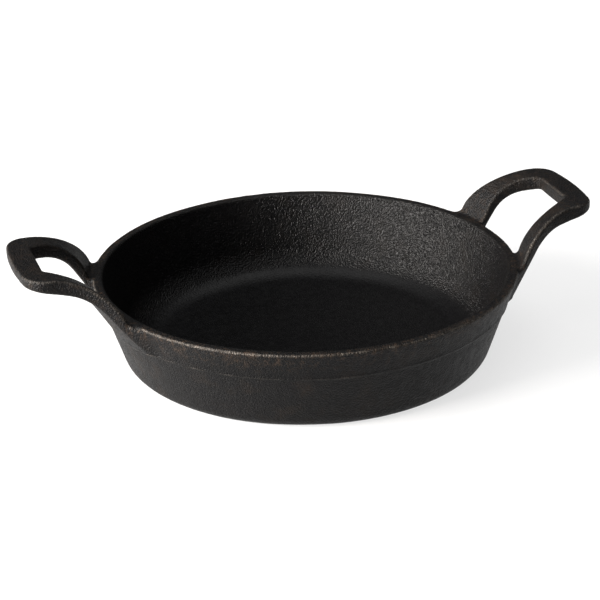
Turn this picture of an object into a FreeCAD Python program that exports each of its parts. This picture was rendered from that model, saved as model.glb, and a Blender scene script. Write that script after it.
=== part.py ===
import FreeCAD, Part
import math
import os
from FreeCAD import Vector

# Round cast iron skillet with two raised loop handles.
# Units are mm. The origin is the centre of the flat underside, +Z is up and the
# handles point along +X and -X. The pan is one sand casting: the files written
# here are its named regions, cut so that they meet face to face.

# --- pan -------------------------------------------------------------------
HEIGHT = 42.0            # underside to rim
RIM_RADIUS = 100.0       # outer radius at the rim
RIM_WIDTH = 4.8          # flat top of the rim, edge to edge
RIM_OUTER_ROUND = 0.7
RIM_INNER_ROUND = 0.7
BASE_RADIUS = 85.8       # where the outer wall's line would meet the underside
BASE_ROUND = 7.0         # outer corner between underside and wall
PARTING_Z = 28.5         # height of the mould parting line
PARTING_RADIUS = 95.0    # outer wall just below the parting line
PARTING_STEP = 0.5       # the band above the line stands this much proud
PARTING_CHAMFER = 0.4
FLOOR_THICKNESS = 4.2
FLOOR_RADIUS = 83.0      # where the inner wall's line would meet the floor
FLOOR_ROUND = 18.0       # cove between floor and inner wall
FLOOR_SPLIT = 68.0       # the floor node is the plain disc inside the cove

# --- handles, seen from the side ---------------------------------------------
# The handle is a plate bent round the pan: its height depends only on the
# distance from the pan's axis.
TOP_DROP = 0.8           # handle root starts this far below the rim
RISE_START = 98.4        # distance from the axis where the handle turns up
RISE_BEND = 3.6          # radius of the small concave bend at the root
RISE_ANGLE = 73.3        # steepest slope, degrees
CREST_BEND = 28.6        # radius of the large convex bend
GRIP_SLOPE = 2.1         # slope of the grip's top, degrees
UNDER_CENTRE = (125.5, 36.4)    # centre of the underside's bend: distance, height
UNDER_BEND = 20.0
UNDER_SLOPE = 13.0       # slope of the grip's underside: the grip tapers to its end
UNDER_ANGLE = 58.0       # slope of the web below the handle's root, degrees

# --- handles, seen from above --------------------------------------------------
HALF_WIDTH = 28.2        # of the sides' line at TIP_X
SIDE_FLARE = 2.5         # the sides widen towards the pan, degrees
SIDE_START = 125.0       # distance in X where the sides begin to flow into the wall
BLEND_BITE = 1.8         # the sides' blends end this deep inside the pan wall
TIP_X = 135.0            # where the sides' line meets the end's chord
TIP_BOW = 2.9            # the end curves out this much past the chord
TIP_CORNER = 10.9
GRIP_X = 126.2           # inner edge of the grip
GRIP_OPENING = 14.3      # half width of the opening at the grip
MIDDLE_X = 112.0         # middle of the opening's bowed side
MIDDLE_OPENING = 20.6
ROOT_OPENING = 20.7      # half width of the opening at the pan wall
OPENING_CORNER = 2.5     # corners beside the grip
OPENING_ROOT = 3.0       # corners against the pan wall
ARM_SPLIT = 118.0        # the arms end and the grip begins here
HANDLE_TOP = 72.0        # height the plan outlines are carried to
EDGE_ROUND = 1.2         # rounding along the handle's long edges


def unit(v):
    return v * (1.0 / v.Length)


def wall_radius(z):
    """Outer radius of the band above the parting line at height z."""
    low = PARTING_RADIUS + PARTING_STEP
    return low + (RIM_RADIUS - low) * (z - PARTING_Z) / (HEIGHT - PARTING_Z)


def segment(points):
    """Line through two points or arc through three."""
    return Part.makeLine(*points) if len(points) == 2 else Part.Arc(*points).toShape()


def rounded_outline(points, radii):
    """Closed wire whose corners are rounded by the given radii."""
    starts, ends, corners = [], [], []
    for i, (corner, radius) in enumerate(zip(points, radii)):
        before = unit(points[i - 1] - corner)
        after = unit(points[(i + 1) % len(points)] - corner)
        half = before.getAngle(after) / 2
        reach = radius / math.tan(half)
        starts.append(corner + before * reach)
        ends.append(corner + after * reach)
        corners.append(corner + unit(before + after) * (radius / math.sin(half) - radius))
    edges = []
    for i, radius in enumerate(radii):
        if radius:
            edges.append(segment([starts[i], corners[i], ends[i]]))
        edges.append(segment([ends[i], starts[(i + 1) % len(points)]]))
    return Part.Wire(edges)


def revolve(wire, degrees=360):
    """Solid of revolution about Z, from an outline in the XZ plane."""
    return Part.Face(wire).revolve(Vector(0, 0, 0), Vector(0, 0, 1), degrees)


def outer_outline():
    """Points and corner radii of the pan's outside, from the axis to the rim."""
    points = [Vector(0, 0, 0),
              Vector(BASE_RADIUS, 0, 0),
              Vector(PARTING_RADIUS, 0, PARTING_Z - PARTING_CHAMFER),
              Vector(PARTING_RADIUS + PARTING_STEP, 0, PARTING_Z),
              Vector(RIM_RADIUS, 0, HEIGHT)]
    radii = [0, BASE_ROUND, 0, 0, RIM_OUTER_ROUND]
    return points, radii


def pan_shell():
    points, radii = outer_outline()
    points += [Vector(RIM_RADIUS - RIM_WIDTH, 0, HEIGHT),
               Vector(FLOOR_RADIUS, 0, FLOOR_THICKNESS),
               Vector(0, 0, FLOOR_THICKNESS)]
    radii += [RIM_INNER_ROUND, FLOOR_ROUND, 0]
    return revolve(rounded_outline(points, radii))


def pan_envelope():
    """The pan's outside as a filled solid, carried straight up inside the rim."""
    points, radii = outer_outline()
    inside = RIM_RADIUS - RIM_WIDTH / 2
    points += [Vector(inside, 0, HEIGHT),
               Vector(inside, 0, HANDLE_TOP),
               Vector(0, 0, HANDLE_TOP)]
    return revolve(rounded_outline(points, radii + [0, 0, 0]))


def on_bend(centre, radius, degrees):
    """Point where a crown of the given radius slopes by the given angle."""
    angle = math.radians(degrees)
    return centre + Vector(-math.sin(angle), 0, math.cos(angle)) * radius


def crown(centre, radius, steep, flat):
    """Arc over a crown, from its steep slope near the pan to its flat one."""
    return [on_bend(centre, radius, a) for a in (steep, (steep + flat) / 2, flat)]


def slope(degrees, length):
    angle = math.radians(degrees)
    return Vector(math.cos(angle), 0, math.sin(angle)) * length


def bent_plate():
    """The handle's plate, bent in side view and swept round the pan's axis."""
    height = HEIGHT - TOP_DROP
    back = Vector(70, 0, height)
    start = Vector(RISE_START, 0, height)
    rise_centre = start + Vector(0, 0, RISE_BEND)
    rise = [on_bend(rise_centre, -RISE_BEND, a) for a in (0, RISE_ANGLE / 2, RISE_ANGLE)]
    crest_centre = on_bend(rise[-1], -CREST_BEND, RISE_ANGLE)
    top = crown(crest_centre, CREST_BEND, RISE_ANGLE, GRIP_SLOPE)
    under_centre = Vector(UNDER_CENTRE[0], 0, UNDER_CENTRE[1])
    under = crown(under_centre, UNDER_BEND, UNDER_ANGLE, UNDER_SLOPE)
    top_end = top[-1] + slope(GRIP_SLOPE, 40)
    under_end = under[-1] + slope(UNDER_SLOPE, 40)
    foot = under[0] - slope(UNDER_ANGLE, 30)
    corner = Vector(back.x, 0, foot.z)
    wire = Part.Wire([segment(points) for points in (
        [back, start], rise, top, [top[-1], top_end], [top_end, under_end],
        [under_end, under[-1]], under[::-1], [under[0], foot], [foot, corner],
        [corner, back])])
    plate = revolve(wire, 90)
    return plate.rotated(Vector(0, 0, 0), Vector(0, 0, 1), -45)


def mirrored(points):
    return [Vector(p.x, -p.y, p.z) for p in points]


def closed_wire(half, z):
    """Wire at height z from the segments of its +Y half and their mirror images."""
    half = [[Vector(p.x, p.y, z) for p in points] for points in half]
    other = [mirrored(points)[::-1] for points in reversed(half)]
    return Part.Wire([segment(points) for points in half + other])


def rounding(centre, radius, first, second):
    """Arc about centre between two touching points."""
    middle = centre + unit(unit(first - centre) + unit(second - centre)) * radius
    return [first, middle, second]


def handle_outline(z):
    """Plan outline of the handle, its sides flowing into the wall at height z."""
    wall = wall_radius(z) - BLEND_BITE
    flare = math.radians(SIDE_FLARE)
    along = Vector(-math.cos(flare), math.sin(flare), 0)
    away = Vector(math.sin(flare), math.cos(flare), 0)
    side_end = Vector(TIP_X, HALF_WIDTH, 0)
    side_start = side_end + along * ((TIP_X - SIDE_START) / math.cos(flare))

    radius = (side_start.dot(side_start) - wall ** 2) / (2 * (wall - side_start.dot(away)))
    centre = side_start + away * radius
    blend = rounding(centre, radius, unit(centre) * wall, side_start)

    end_radius = (HALF_WIDTH ** 2 + TIP_BOW ** 2) / (2 * TIP_BOW)
    end_centre = Vector(TIP_X + TIP_BOW - end_radius, 0, 0)
    offset = side_end - away * TIP_CORNER - end_centre
    b = offset.dot(along)
    reach = -b - math.sqrt(b * b - offset.dot(offset) + (end_radius - TIP_CORNER) ** 2)
    centre = end_centre + offset + along * reach
    end_start = end_centre + unit(centre - end_centre) * end_radius
    corner = rounding(centre, TIP_CORNER, centre + away * TIP_CORNER, end_start)
    end = rounding(end_centre, end_radius, end_start, Vector(TIP_X + TIP_BOW, 0, 0))
    inside = blend[0] * 0.85
    return closed_wire([[Vector(inside.x, 0, 0), inside], [inside, blend[0]], blend,
                        [side_start, corner[0]], corner, end], z)


def opening_half():
    """Plan outline of the finger opening's +Y half, from inside the pan to the grip."""
    grip = Vector(GRIP_X, GRIP_OPENING, 0)
    middle = Vector(MIDDLE_X, MIDDLE_OPENING, 0)
    root = Vector(math.sqrt(RIM_RADIUS ** 2 - ROOT_OPENING ** 2), ROOT_OPENING, 0)
    bow = Part.Circle(grip, middle, root)

    def on_bow(x, radius):
        across = math.sqrt(radius ** 2 - (x - bow.Center.x) ** 2)
        return Vector(x, bow.Center.y + across, 0)

    start = on_bow(BASE_RADIUS, bow.Radius)
    centre = on_bow(GRIP_X - OPENING_CORNER, bow.Radius - OPENING_CORNER)
    end = bow.Center + unit(centre - bow.Center) * bow.Radius
    corner = rounding(centre, OPENING_CORNER, end, centre + Vector(OPENING_CORNER, 0, 0))
    return [[Vector(start.x, 0, 0), start],
            rounding(bow.Center, bow.Radius, start, end),
            corner,
            [corner[-1], Vector(GRIP_X, 0, 0)]]


def opening():
    """The finger opening as a solid whose back is the line of the pan wall."""
    low, high = PARTING_Z - 1, HANDLE_TOP + 1
    body = Part.Face(closed_wire(opening_half(), low)).extrude(Vector(0, 0, high - low))
    body = body.cut(Part.makeCone(wall_radius(low), wall_radius(high), high - low,
                                  Vector(0, 0, low)))
    against_wall = [edge for edge in body.Edges
                    if edge.BoundBox.ZLength > 20 and edge.BoundBox.XMax < MIDDLE_X
                    and edge.BoundBox.YLength > 0.5]
    return body.makeFillet(OPENING_ROOT, against_wall)


def handle_plan():
    """Everything inside the handle's plan outline, from the parting line up."""
    return Part.makeLoft([handle_outline(PARTING_Z), handle_outline(HANDLE_TOP)], True, True)


def long_edges(body):
    """Sharp edges between the handle's plate and its upright sides."""
    found = []
    for edge in body.Edges:
        point = edge.valueAt((edge.FirstParameter + edge.LastParameter) / 2)
        normals = [face.normalAt(*face.Surface.parameter(point))
                   for face in body.ancestorsOfType(edge, Part.Face)]
        across = unit(Vector(-point.y, point.x, 0))
        plate = [abs(n.dot(across)) < 1e-3 and abs(n.z) > 0.25 for n in normals]
        sharp = math.degrees(normals[0].getAngle(normals[1])) > 30
        outside = point.z > PARTING_Z + 0.1 and math.hypot(point.x, point.y) > RIM_RADIUS - 8
        if sharp and plate.count(True) == 1 and outside:
            found.append(edge)
    return found


def handle():
    """Right-hand handle, complete, cut off where it meets the pan wall."""
    body = bent_plate().common(handle_plan()).cut(opening())
    body = body.makeFillet(EDGE_ROUND, long_edges(body))
    return body.cut(pan_envelope())


def block(low, high):
    """Box between two corners."""
    size = high - low
    return Part.makeBox(size.x, size.y, size.z, low)


def pan_nodes():
    """Floor disc, lower wall and the band above the parting line."""
    shell = pan_shell()
    disc = Part.makeCylinder(FLOOR_SPLIT, FLOOR_THICKNESS)
    below = Part.makeCylinder(2 * RIM_RADIUS, PARTING_Z)
    ring = shell.cut(disc)
    return {
        "pan_floor": shell.common(disc),
        "pan_wall": ring.common(below),
        "rim_band": ring.cut(below),
    }


def handle_nodes():
    """Two arms and a grip for each handle; rear is towards +Y."""
    far = 200.0
    body = handle()
    arm = body.common(block(Vector(0, 0, 0), Vector(ARM_SPLIT, far, far)))
    right = {
        "rear_arm": arm,
        "front_arm": arm.mirror(Vector(0, 0, 0), Vector(0, 1, 0)),
        "grip": body.common(block(Vector(ARM_SPLIT, -far, 0), Vector(far, far, far))),
    }
    nodes = {}
    for name, shape in right.items():
        nodes["right_handle_" + name] = shape
        nodes["left_handle_" + name] = shape.mirror(Vector(0, 0, 0), Vector(1, 0, 0))
    return nodes


os.makedirs("parts", exist_ok=True)
nodes = {**pan_nodes(), **handle_nodes()}
for name, shape in nodes.items():
    if len(shape.Solids) != 1 or not shape.isValid():
        raise ValueError(f"{name} is not one valid solid")
    shape.Solids[0].exportStep(f"parts/{name}.step")
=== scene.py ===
import math

import bmesh
import bpy
import numpy as np
from mathutils import Matrix, Vector


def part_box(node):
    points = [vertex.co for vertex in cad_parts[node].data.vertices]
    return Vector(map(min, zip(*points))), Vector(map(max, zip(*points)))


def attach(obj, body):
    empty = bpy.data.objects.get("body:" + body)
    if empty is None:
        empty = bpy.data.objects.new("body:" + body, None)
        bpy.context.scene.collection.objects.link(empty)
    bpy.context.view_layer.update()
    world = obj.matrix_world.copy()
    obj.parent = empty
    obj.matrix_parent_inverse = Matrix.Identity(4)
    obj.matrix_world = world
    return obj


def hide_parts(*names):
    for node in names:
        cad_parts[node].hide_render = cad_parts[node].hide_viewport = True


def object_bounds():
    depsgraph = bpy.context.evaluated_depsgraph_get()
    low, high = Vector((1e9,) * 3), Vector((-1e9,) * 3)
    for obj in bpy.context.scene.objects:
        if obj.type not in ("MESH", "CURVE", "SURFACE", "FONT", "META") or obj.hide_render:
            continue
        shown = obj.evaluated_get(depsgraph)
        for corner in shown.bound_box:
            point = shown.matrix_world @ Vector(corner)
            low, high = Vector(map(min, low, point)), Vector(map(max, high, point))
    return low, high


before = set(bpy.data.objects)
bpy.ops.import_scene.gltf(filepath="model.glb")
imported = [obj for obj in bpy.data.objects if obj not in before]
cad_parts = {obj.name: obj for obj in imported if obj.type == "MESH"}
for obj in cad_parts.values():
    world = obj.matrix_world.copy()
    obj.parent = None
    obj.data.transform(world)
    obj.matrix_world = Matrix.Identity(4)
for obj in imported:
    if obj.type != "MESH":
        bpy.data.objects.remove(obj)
CAD_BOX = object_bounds()

# --- sizes read from the frame, in metres -------------------------------------
band_low, band_high = (Vector(corner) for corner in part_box("rim_band"))
RIM_RADIUS = (band_high.x - band_low.x) / 2
RIM_Z = band_high.z
PARTING_Z = band_low.z
FLOOR_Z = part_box("pan_floor")[1][2]

# --- the casting's surface, in metres -----------------------------------------
VOXEL = 0.0006
FACE_LIMIT = 196000
CAST_FILLET = 0.0035         # radius that inside corners are filled to
RIM_FILLET = 0.0012          # the same, close to the rim
FILL_PASSES = 7
ROUNDS_PER_PASS = 6
SOFTEN_ROUNDS = 2
RIDGE_HEIGHT = 0.0004        # witness of the mould joint
RIDGE_WIDTH = 0.0006
OUTER_LEAN = 0.36            # the wall's outer and inner faces lean out by these slopes
INNER_LEAN = 0.34
INNER_FACE = 0.003           # how far inside the rim's edge the pan's inside begins
WAVES = (                    # spacing, height
    (0.022, 0.00012),
    (0.0060, 0.00003),
    (0.0017, 0.00002),
)
CHIP_SPACING = 0.0022        # small chips along the worn edges
CHIP_DEPTH = 0.00016

# --- colours ---------------------------------------------------------------------
SEASONING = (0.0014, 0.0013, 0.0015, 1)
BROWN_TINT = (0.0075, 0.005, 0.0034, 1)
DUSTY_TINT = (0.0032, 0.0029, 0.0026, 1)
PAN_FLOOR = (0.0016, 0.0015, 0.0017, 1)
RUST = (0.02, 0.0125, 0.008, 1)
# pale worn metal for edge specks, also used for a painted highlight along every edge
WORN_IRON_AND_EDGE_HIGHLIGHT = (0.2, 0.175, 0.15, 1)
WARM_LIGHT = (1.0, 0.96, 0.92)

# --- camera, in rim radii and degrees -------------------------------------------
CAMERA_DISTANCE = 9.52
CAMERA_AZIMUTH = -17.63
CAMERA_ELEVATION = 23.87
CAMERA_ROLL = 1.33
CAMERA_LENS = 120.0
AIM_HEIGHT = 0.2
SHIFT = (-0.0101, 0.0133)

# --- surroundings, in metres ------------------------------------------------------
STAGE_SIZE = 12
STAGE_DROP = 0.0002          # keeps the stage clear of the pan's flat underside


def add_camera():
    """Camera on a circle round the pan, aimed a little above the floor."""
    azimuth = math.radians(CAMERA_AZIMUTH)
    elevation = math.radians(CAMERA_ELEVATION)
    roll = math.radians(CAMERA_ROLL)
    back = Vector((math.sin(azimuth) * math.cos(elevation),
                   -math.cos(azimuth) * math.cos(elevation),
                   math.sin(elevation)))
    right = (-back).cross(Vector((0, 0, 1))).normalized()
    up = right.cross(-back)
    turned_right = right * math.cos(roll) - up * math.sin(roll)
    turned_up = right * math.sin(roll) + up * math.cos(roll)
    data = bpy.data.cameras.new("camera")
    data.lens = CAMERA_LENS
    data.sensor_width = 36.0
    data.shift_x, data.shift_y = SHIFT
    camera = bpy.data.objects.new("camera", data)
    place = Vector((0, 0, AIM_HEIGHT)) + back * CAMERA_DISTANCE
    matrix = Matrix((turned_right, turned_up, back)).transposed().to_4x4()
    matrix.translation = place * RIM_RADIUS
    camera.matrix_world = matrix
    bpy.context.scene.collection.objects.link(camera)
    bpy.context.scene.camera = camera


# --- mesh helpers -----------------------------------------------------------------
def mesh_points(mesh):
    points = np.empty(len(mesh.vertices) * 3)
    mesh.vertices.foreach_get("co", points)
    return points.reshape(-1, 3)


def set_points(mesh, points):
    mesh.vertices.foreach_set("co", points.ravel())
    mesh.update()


def mesh_normals(mesh):
    normals = np.empty(len(mesh.vertices) * 3)
    mesh.vertices.foreach_get("normal", normals)
    return normals.reshape(-1, 3)


def mesh_edges(mesh):
    edges = np.empty(len(mesh.edges) * 2, dtype=int)
    mesh.edges.foreach_get("vertices", edges)
    return edges.reshape(-1, 2)


def neighbour_mean(values, edges):
    """Mean of each vertex's neighbours."""
    count = len(values)
    degree = np.bincount(edges.ravel(), minlength=count)
    columns = [np.bincount(edges[:, 0], column[edges[:, 1]], count)
               + np.bincount(edges[:, 1], column[edges[:, 0]], count)
               for column in values.reshape(count, -1).T]
    return (np.array(columns).T / degree[:, None]).reshape(values.shape)


def noise(points, spacing, seed):
    """Smooth random values from -1 to 1 that vary over the given spacing."""
    scaled = (points - np.array(CAD_BOX[0])) / spacing + 2
    cell = np.floor(scaled).astype(int)
    part = scaled - cell
    part = part * part * (3 - 2 * part)
    lattice = np.random.default_rng(seed).uniform(-1, 1, cell.max(axis=0) + 3)
    total = np.zeros(len(points))
    for corner in np.ndindex(2, 2, 2):
        weight = np.where(corner, part, 1 - part).prod(axis=1)
        total += weight * lattice[tuple((cell + corner).T)]
    return total


def smooth_step(values, low, high):
    t = np.clip((values - low) / (high - low), 0, 1)
    return t * t * (3 - 2 * t)


def applied(mesh, kind, **settings):
    """New mesh: the old one with one modifier applied."""
    holder = bpy.data.objects.new("holder", mesh)
    bpy.context.scene.collection.objects.link(holder)
    modifier = holder.modifiers.new("shape", kind)
    for name, value in settings.items():
        setattr(modifier, name, value)
    evaluated = holder.evaluated_get(bpy.context.evaluated_depsgraph_get())
    result = bpy.data.meshes.new_from_object(evaluated)
    bpy.data.objects.remove(holder)
    bpy.data.meshes.remove(mesh)
    return result


# --- the casting --------------------------------------------------------------------
def joined_nodes():
    """One mesh that holds a copy of every CAD node."""
    whole = bmesh.new()
    for name in sorted(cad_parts):
        whole.from_mesh(bpy.data.objects[name].data)
    mesh = bpy.data.meshes.new("joined")
    whole.to_mesh(mesh)
    whole.free()
    return mesh


def fill_corners(mesh, edges):
    """Fill inside corners to a cast fillet, leaving outside edges alone."""
    points = mesh_points(mesh)
    near_rim = smooth_step(points[:, 2], RIM_Z - 0.005, RIM_Z - 0.002)
    near_rim *= 1 - smooth_step(points[:, 2], RIM_Z + 0.001, RIM_Z + 0.004)
    radius = CAST_FILLET + (RIM_FILLET - CAST_FILLET) * near_rim
    allowed = VOXEL ** 2 / (4 * radius)
    for _ in range(FILL_PASSES):
        normals = mesh_normals(mesh)
        for _ in range(ROUNDS_PER_PASS):
            rise = ((neighbour_mean(points, edges) - points) * normals).sum(axis=1)
            points += np.maximum(rise - allowed, 0)[:, None] * normals
        set_points(mesh, points)


def soften(mesh, edges):
    """Round every corner a little, as sand casting does."""
    points = mesh_points(mesh)
    for _ in range(SOFTEN_ROUNDS):
        points += 0.5 * (neighbour_mean(points, edges) - points)
    set_points(mesh, points)


def outside_wall(points):
    """1 on the outer face of the pan wall, 0 elsewhere."""
    radius = np.hypot(points[:, 0], points[:, 1])
    wall = RIM_RADIUS - (RIM_Z - points[:, 2]) * OUTER_LEAN
    return smooth_step(radius, wall - 0.0015, wall - 0.0008) \
        * (1 - smooth_step(radius, wall + 0.002, wall + 0.004))


def raise_parting_ridge(mesh):
    """A thin uneven ridge round the wall where the mould's halves met."""
    points = mesh_points(mesh)
    height = PARTING_Z + 0.0003 * noise(points, 0.015, 11)
    ridge = np.exp(-((points[:, 2] - height) / RIDGE_WIDTH) ** 2)
    ridge *= 0.75 + 0.45 * noise(points, 0.006, 12)
    points += (RIDGE_HEIGHT * ridge * outside_wall(points))[:, None] * mesh_normals(mesh)
    set_points(mesh, points)


def convexity(mesh, edges):
    """0 on flat metal, rising to 1 on a crisp outside edge."""
    points = mesh_points(mesh)
    hollow = ((neighbour_mean(points, edges) - points) * mesh_normals(mesh)).sum(axis=1)
    bend = np.maximum(-hollow, 0) / VOXEL
    for _ in range(2):
        bend = neighbour_mean(bend, edges)
    return smooth_step(bend, 0.045, 0.15)


def roughen(mesh, edge):
    """Sand-cast waviness and grain, and small chips along the edges."""
    points = mesh_points(mesh)
    normals = mesh_normals(mesh)
    shift = sum(height * noise(points, spacing, 20 + i)
                for i, (spacing, height) in enumerate(WAVES))
    chips = smooth_step(noise(points, CHIP_SPACING, 31), 0.15, 0.75)
    shift -= CHIP_DEPTH * chips * edge
    set_points(mesh, points + shift[:, None] * normals)


def clip_to_box(mesh):
    """Keep the casting inside the CAD model's box."""
    low, high = np.array(CAD_BOX)
    set_points(mesh, np.clip(mesh_points(mesh), low, high))


def store(mesh, name, values):
    """Keep one number per vertex for the material."""
    attribute = mesh.attributes.new(name, "FLOAT", "POINT")
    attribute.data.foreach_set("value", values)


def inside_pan(points):
    """1 on the surfaces that face the inside of the pan."""
    radius = np.hypot(points[:, 0], points[:, 1])
    wall = RIM_RADIUS - (RIM_Z - points[:, 2]) * INNER_LEAN - INNER_FACE
    above = smooth_step(points[:, 2], FLOOR_Z * 0.5, FLOOR_Z * 0.75)
    return above * (1 - smooth_step(radius, wall - 0.001, wall + 0.0005))


def inside_floor(points):
    """1 on the pan's floor, fading out up the cove."""
    radius = np.hypot(points[:, 0], points[:, 1])
    above = smooth_step(points[:, 2], FLOOR_Z * 0.5, FLOOR_Z * 0.75)
    return above * (1 - smooth_step(points[:, 2], FLOOR_Z + 0.001, FLOOR_Z + 0.006)) \
        * (1 - smooth_step(radius, RIM_RADIUS * 0.8, RIM_RADIUS * 0.84))


def add_casting(material):
    """The whole pan as one skin over the CAD regions."""
    mesh = applied(joined_nodes(), "REMESH", mode="VOXEL", voxel_size=VOXEL)
    edges = mesh_edges(mesh)
    fill_corners(mesh, edges)
    soften(mesh, edges)
    raise_parting_ridge(mesh)
    edge = convexity(mesh, edges)
    store(mesh, "edge", edge)
    store(mesh, "floor", inside_floor(mesh_points(mesh)))
    store(mesh, "inside", inside_pan(mesh_points(mesh)))
    roughen(mesh, edge)
    mesh = applied(mesh, "DECIMATE", ratio=FACE_LIMIT / (2 * len(mesh.polygons)))
    clip_to_box(mesh)
    mesh.shade_smooth()
    casting = bpy.data.objects.new("casting", mesh)
    bpy.context.scene.collection.objects.link(casting)
    mesh.materials.clear()
    mesh.materials.append(material)
    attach(casting, "root")
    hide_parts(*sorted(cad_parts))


# --- material -------------------------------------------------------------------------
class Nodes:
    """Short way to add and join shader nodes."""

    def __init__(self, tree):
        self.tree = tree

    def add(self, kind, *inputs, **settings):
        """Node whose inputs, by position or name, are linked or set."""
        node = self.tree.nodes.new("ShaderNode" + kind)
        named = settings.pop("named", {})
        for name, value in settings.items():
            setattr(node, name, value)
        for key, value in [*enumerate(inputs), *named.items()]:
            if isinstance(value, bpy.types.NodeSocket):
                self.tree.links.new(value, node.inputs[key])
            elif value is not None:
                node.inputs[key].default_value = value
        return node

    def math(self, operation, *inputs):
        return self.add("Math", *inputs, operation=operation).outputs[0]

    def noise(self, place, scale, detail=2.0, rough=0.5):
        node = self.add("TexNoise", named={"Vector": place, "Scale": scale, "Detail": detail,
                                           "Roughness": rough})
        return node.outputs[0]

    def ramp(self, value, low, high, to_low=0.0, to_high=1.0):
        """Smooth change from one level to another as value goes from low to high."""
        node = self.add("MapRange", value, low, high, to_low, to_high,
                        interpolation_type="SMOOTHSTEP")
        return node.outputs[0]

    def blend(self, factor, first, second):
        node = self.add("Mix", data_type="RGBA",
                        named={0: factor, 6: first, 7: second})
        return node.outputs[2]


def seasoned_iron():
    """Black seasoned cast iron, brown under the rim, pale worn specks on edges and a painted
    highlight line along every edge.
    """
    material = bpy.data.materials.new("seasoned_iron")
    material.use_nodes = True
    tree = material.node_tree
    shader = tree.nodes["Principled BSDF"]
    shader.inputs["Specular IOR Level"].default_value = 0.13
    n = Nodes(tree)
    place = n.add("TexCoord").outputs["Object"]
    edge = n.add("Attribute", attribute_name="edge").outputs["Fac"]
    floor = n.add("Attribute", attribute_name="floor").outputs["Fac"]
    inside = n.add("Attribute", attribute_name="inside").outputs["Fac"]
    height = n.add("SeparateXYZ", place).outputs["Z"]

    # colour: black seasoning, brown tints outside and under the rim, pale worn specks on
    # edges plus a painted highlight line along every edge
    tint = n.ramp(n.noise(place, 75, 4, 0.6), 0.48, 0.78)
    tint = n.math("MULTIPLY", tint, n.ramp(inside, 0, 1, 1.0, 0.3))
    mottle = n.ramp(n.noise(place, 420, 3, 0.6), 0.35, 0.7)
    colour = n.blend(tint, SEASONING, BROWN_TINT)
    colour = n.blend(n.math("MULTIPLY", mottle, 0.5), colour, DUSTY_TINT)
    colour = n.blend(floor, colour, PAN_FLOOR)
    under_rim = n.math("MULTIPLY", n.ramp(height, RIM_Z - 0.012, RIM_Z - 0.002),
                       n.ramp(height, RIM_Z, RIM_Z + 0.004, 1.0, 0.4))
    under_rim = n.math("MULTIPLY", under_rim, n.ramp(inside, 0, 1, 1.0, 0.0))
    rust = n.math("MULTIPLY", under_rim, n.ramp(n.noise(place, 420, 4, 0.7), 0.48, 0.7))
    colour = n.blend(rust, colour, RUST)
    speck = n.ramp(n.noise(place, 1300, 2, 0.6), 0.42, 0.62)
    patch = n.ramp(n.noise(place, 110, 3, 0.55), 0.25, 0.6)
    # every edge keeps at least a quarter of the pale colour, a painted highlight line; the
    # specks above that are real wear
    speck = n.ramp(n.math("MULTIPLY", speck, patch), 0, 1, 0.25, 1.0)
    wear_and_edge_highlight = n.math("MULTIPLY", edge, speck)
    colour = n.blend(wear_and_edge_highlight, colour, WORN_IRON_AND_EDGE_HIGHLIGHT)
    tree.links.new(colour, shader.inputs["Base Color"])
    tree.links.new(n.math("MULTIPLY", wear_and_edge_highlight, 0.6), shader.inputs["Metallic"])

    # gloss: satin, uneven, smoother inside and on worn edges
    gloss = n.ramp(n.noise(place, 300, 4, 0.6), 0.3, 0.7, 0.45, 0.57)
    gloss = n.math("SUBTRACT", gloss, n.math("MULTIPLY", inside, 0.15))
    gloss = n.math("SUBTRACT", gloss, n.math("MULTIPLY", edge, 0.06))
    tree.links.new(gloss, shader.inputs["Roughness"])

    # relief: sand-cast pebbles with finer grain on them
    pebbles = n.add("TexVoronoi", feature="SMOOTH_F1",
                    named={"Vector": place, "Scale": 1200.0, "Smoothness": 0.25}).outputs[0]
    grain = n.noise(place, 1500, 1, 0.5)
    relief = n.math("ADD", n.math("MULTIPLY", pebbles, -0.9), grain)
    depth = n.ramp(floor, 0, 1, n.ramp(inside, 0, 1, 1.1, 1.2), 0.3)
    bump = n.add("Bump", named={"Strength": 1.0, "Distance": 0.00034,
                                "Height": n.math("MULTIPLY", relief, depth)})
    tree.links.new(bump.outputs[0], shader.inputs["Normal"])
    return material


# --- surroundings ----------------------------------------------------------------------
def add_floor():
    """Plain pale stage that glows a little, so that shadows stay soft."""
    bpy.ops.mesh.primitive_plane_add(size=STAGE_SIZE, location=(0, 0, -STAGE_DROP))
    floor = bpy.context.object
    floor.name = "floor"
    material = bpy.data.materials.new("pale_floor")
    material.use_nodes = True
    shader = material.node_tree.nodes["Principled BSDF"]
    shader.inputs["Base Color"].default_value = (0.25, 0.25, 0.25, 1)
    shader.inputs["Roughness"].default_value = 0.9
    shader.inputs["Emission Color"].default_value = (1, 1, 1, 1)
    shader.inputs["Emission Strength"].default_value = 0.7
    floor.data.materials.append(material)


def add_area(name, place, aim, size, power, colour=(1, 1, 1)):
    data = bpy.data.lights.new(name, "AREA")
    data.shape = "RECTANGLE"
    data.size, data.size_y = size
    data.energy = power
    data.color = colour
    light = bpy.data.objects.new(name, data)
    light.location = place
    light.rotation_euler = (Vector(aim) - Vector(place)).to_track_quat("-Z", "Y").to_euler()
    bpy.context.scene.collection.objects.link(light)


def add_light():
    world = bpy.data.worlds.new("studio")
    world.use_nodes = True
    world.node_tree.nodes["Background"].inputs["Color"].default_value = (1, 1, 1, 1)
    world.node_tree.nodes["Background"].inputs["Strength"].default_value = 0.06
    bpy.context.scene.world = world
    bpy.context.scene.view_settings.view_transform = "Standard"
    add_area("overhead", (0, 0.2, 2.4), (0, 0, 0), (3.0, 3.0), 62)
    add_area("key", (-1.65, -0.1, 0.58), (0, 0, 0.02), (1.3, 0.8), 165, WARM_LIGHT)


add_camera()
add_casting(seasoned_iron())
add_floor()
add_light()
